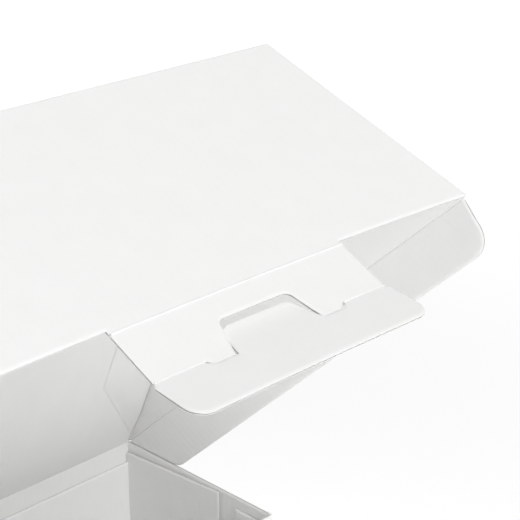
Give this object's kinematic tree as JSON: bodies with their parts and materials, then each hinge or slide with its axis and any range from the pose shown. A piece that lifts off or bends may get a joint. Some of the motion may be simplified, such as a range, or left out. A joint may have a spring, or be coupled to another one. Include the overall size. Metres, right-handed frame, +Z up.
{
  "type": "magazine file holder",
  "caption": "Flip-top magazine file folded from white E-flute corrugated board: a low tray, a hinged hood with slanted side gussets, and a tuck flap with a thumb slot.",
  "frame": {"origin": "middle of the base's underside", "axes": "+X along the width to the user's right, +Y towards the tall back, +Z up"},
  "size_m": [0.24, 0.2349, 0.2944],
  "materials": {
    "white_board": "matt white-lined E-flute corrugated board"
  },
  "bodies": {
    "tray": {"bottom_panel": "white_board", "back_wall": "white_board", "front_wall": "white_board", "rear_liner": "white_board", "side_wall_right": "white_board", "side_wall_left": "white_board", "rear_corner_tab_right": "white_board", "rear_corner_tab_left": "white_board", "front_corner_tab_right": "white_board", "front_corner_tab_left": "white_board", "bottom_flap_right": "white_board", "bottom_flap_left": "white_board"},
    "hood": {"upper_back": "white_board", "lid_panel": "white_board", "side_gusset_right": "white_board", "side_gusset_left": "white_board", "glue_web_right": "white_board", "glue_web_left": "white_board"},
    "front_flap": {"front_flap": "white_board"},
    "tuck_flap": {"tuck_flap": "white_board"},
    "flange_right": {"side_flange_right": "white_board"},
    "flange_left": {"side_flange_left": "white_board"}
  },
  "joints": [
    {"name": "hood_crease", "type": "hinge", "parent": "tray", "child": "hood", "pos_m": [0, 0.049, 0.076], "axis": [-1, 0, 0], "range_deg": [0, 116.25]},
    {"name": "front_flap_crease", "type": "hinge", "parent": "hood", "child": "front_flap", "pos_m": [0, -0.147, 0.24917], "axis": [1, 0, 0], "range_deg": [0, 90]},
    {"name": "tuck_flap_crease", "type": "hinge", "parent": "front_flap", "child": "tuck_flap", "pos_m": [0, -0.16584, 0.23988], "axis": [1, 0, 0], "range_deg": [0, 107.5]},
    {"name": "right_flange_crease", "type": "hinge", "parent": "hood", "child": "flange_right", "pos_m": [0.1185, 0.04766, 0.07534], "axis": [0, 0.7418, -0.6706], "range_deg": [-10, 80]},
    {"name": "left_flange_crease", "type": "hinge", "parent": "hood", "child": "flange_left", "pos_m": [-0.1185, 0.04766, 0.07534], "axis": [0, -0.7418, 0.6706], "range_deg": [-10, 80]}
  ]
}
